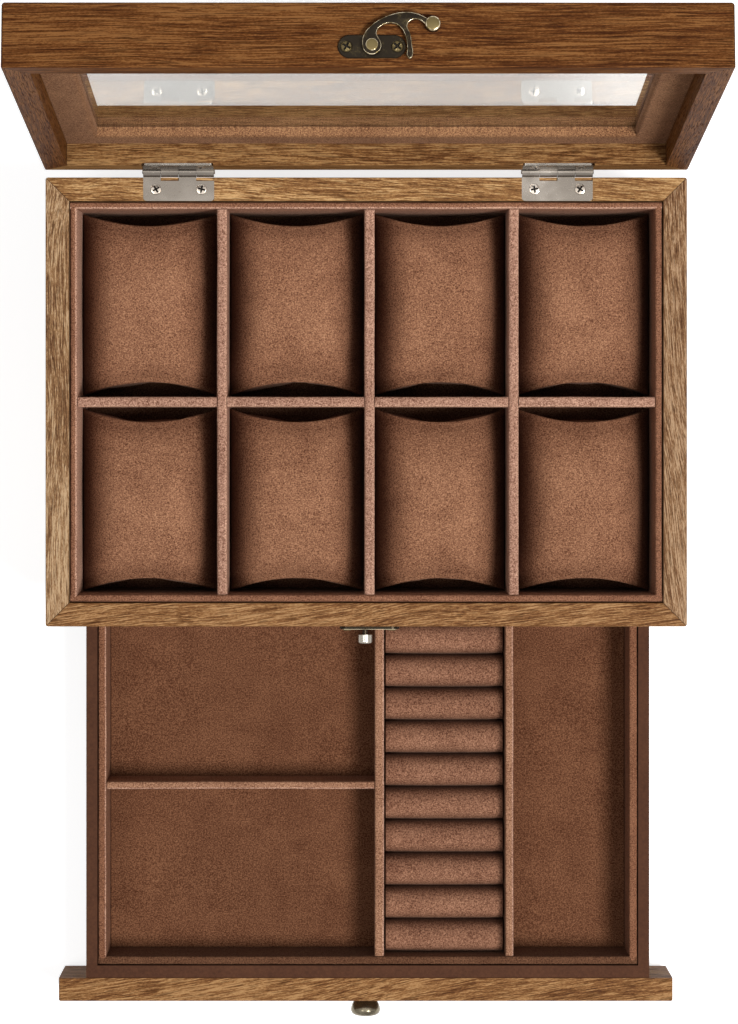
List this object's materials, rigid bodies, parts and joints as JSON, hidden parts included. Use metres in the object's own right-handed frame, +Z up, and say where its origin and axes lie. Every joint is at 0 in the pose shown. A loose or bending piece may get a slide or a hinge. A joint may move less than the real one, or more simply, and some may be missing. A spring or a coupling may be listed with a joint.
{
  "type": "watch box with drawer",
  "caption": "Wooden watch box with a hinged glass lid and hook latch, a velvet tray of watch pillows and a pull-out drawer with compartments and ring rolls.",
  "frame": {"origin": "middle of the case's underside, on the surface it stands on", "axes": "+Z up, +Y to the rear, +X to the right seen from the front; the lid stands open and the drawer is out"},
  "size_m": [0.3, 0.4659, 0.3355],
  "materials": {
    "wood": "satin walnut-brown stain over open straight grain",
    "box_board": "dark brown satin paper-wrapped fibreboard",
    "velvet_lining": "short brown velvet over board",
    "velvet_padding": "short brown velvet over foam",
    "glass": "clear polished",
    "nickel": "bright nickel plate",
    "antique_bronze": "antique bronze, rubbed bright on its high spots",
    "steel": "zinc plated"
  },
  "bodies": {
    "case": {"base_board": "wood", "tray_floor": "box_board", "tray_liner": "velvet_lining", "case_front": "wood", "case_right": "wood", "case_back": "wood", "case_left": "wood", "tray_floor_pad": "velvet_lining", "tray_long_divider": "velvet_lining", "tray_cross_divider_1": "velvet_lining", "tray_cross_divider_2": "velvet_lining", "tray_cross_divider_3": "velvet_lining", "hinge_left_case_leaf": "nickel", "hinge_left_pin": "nickel", "hinge_right_case_leaf": "nickel", "hinge_right_pin": "nickel", "hinge_case_screws": "nickel", "catch_plate": "antique_bronze", "catch_screws": "antique_bronze", "catch_stud": "antique_bronze"},
    "lid": {"hinge_left_lid_leaf": "nickel", "hinge_right_lid_leaf": "nickel", "lid_front": "wood", "lid_right": "wood", "lid_back": "wood", "lid_left": "wood", "lid_glass": "glass", "lid_lining": "velvet_lining", "hinge_lid_screws": "nickel", "latch_plate": "antique_bronze", "latch_screws": "antique_bronze", "latch_rivet": "antique_bronze"},
    "hook": {"latch_hook": "antique_bronze"},
    "drawer": {"drawer_front": "wood", "drawer_knob": "antique_bronze", "drawer_knob_screw": "steel", "ring_rolls": "velvet_padding", "drawer_subfront": "box_board", "drawer_left_side": "box_board", "drawer_right_side": "box_board", "drawer_back": "box_board", "drawer_bottom": "box_board", "drawer_liner": "velvet_lining", "drawer_floor_pad": "velvet_lining", "drawer_left_partition": "velvet_lining", "drawer_right_partition": "velvet_lining", "drawer_cross_partition": "velvet_lining"},
    "watch_pillow_rear_1": {"watch_pillow_rear_1": "velvet_padding"},
    "watch_pillow_rear_2": {"watch_pillow_rear_2": "velvet_padding"},
    "watch_pillow_rear_3": {"watch_pillow_rear_3": "velvet_padding"},
    "watch_pillow_rear_4": {"watch_pillow_rear_4": "velvet_padding"},
    "watch_pillow_front_1": {"watch_pillow_front_1": "velvet_padding"},
    "watch_pillow_front_2": {"watch_pillow_front_2": "velvet_padding"},
    "watch_pillow_front_3": {"watch_pillow_front_3": "velvet_padding"},
    "watch_pillow_front_4": {"watch_pillow_front_4": "velvet_padding"}
  },
  "joints": [
    {"name": "lid_hinge", "type": "hinge", "parent": "case", "child": "lid", "pos_m": [0, 0.1077, 0.11965], "axis": [-1, 0, 0], "range_deg": [-97.5, 0]},
    {"name": "hook_swing", "type": "hinge", "parent": "lid", "child": "hook", "pos_m": [0.0015, 0.14453, 0.33236], "axis": [0, 0.1305, 0.9914], "range_deg": [-100, 0]},
    {"name": "drawer_slide", "type": "slide", "parent": "case", "child": "drawer", "axis": [0, -1, 0], "range_m": [-0.1875, 0]},
    {"name": "watch_pillow_rear_1_lift", "type": "slide", "parent": "case", "child": "watch_pillow_rear_1", "axis": [0, 0, 1], "range_m": [0, 0.08]},
    {"name": "watch_pillow_rear_2_lift", "type": "slide", "parent": "case", "child": "watch_pillow_rear_2", "axis": [0, 0, 1], "range_m": [0, 0.08]},
    {"name": "watch_pillow_rear_3_lift", "type": "slide", "parent": "case", "child": "watch_pillow_rear_3", "axis": [0, 0, 1], "range_m": [0, 0.08]},
    {"name": "watch_pillow_rear_4_lift", "type": "slide", "parent": "case", "child": "watch_pillow_rear_4", "axis": [0, 0, 1], "range_m": [0, 0.08]},
    {"name": "watch_pillow_front_1_lift", "type": "slide", "parent": "case", "child": "watch_pillow_front_1", "axis": [0, 0, 1], "range_m": [0, 0.08]},
    {"name": "watch_pillow_front_2_lift", "type": "slide", "parent": "case", "child": "watch_pillow_front_2", "axis": [0, 0, 1], "range_m": [0, 0.08]},
    {"name": "watch_pillow_front_3_lift", "type": "slide", "parent": "case", "child": "watch_pillow_front_3", "axis": [0, 0, 1], "range_m": [0, 0.08]},
    {"name": "watch_pillow_front_4_lift", "type": "slide", "parent": "case", "child": "watch_pillow_front_4", "axis": [0, 0, 1], "range_m": [0, 0.08]}
  ]
}
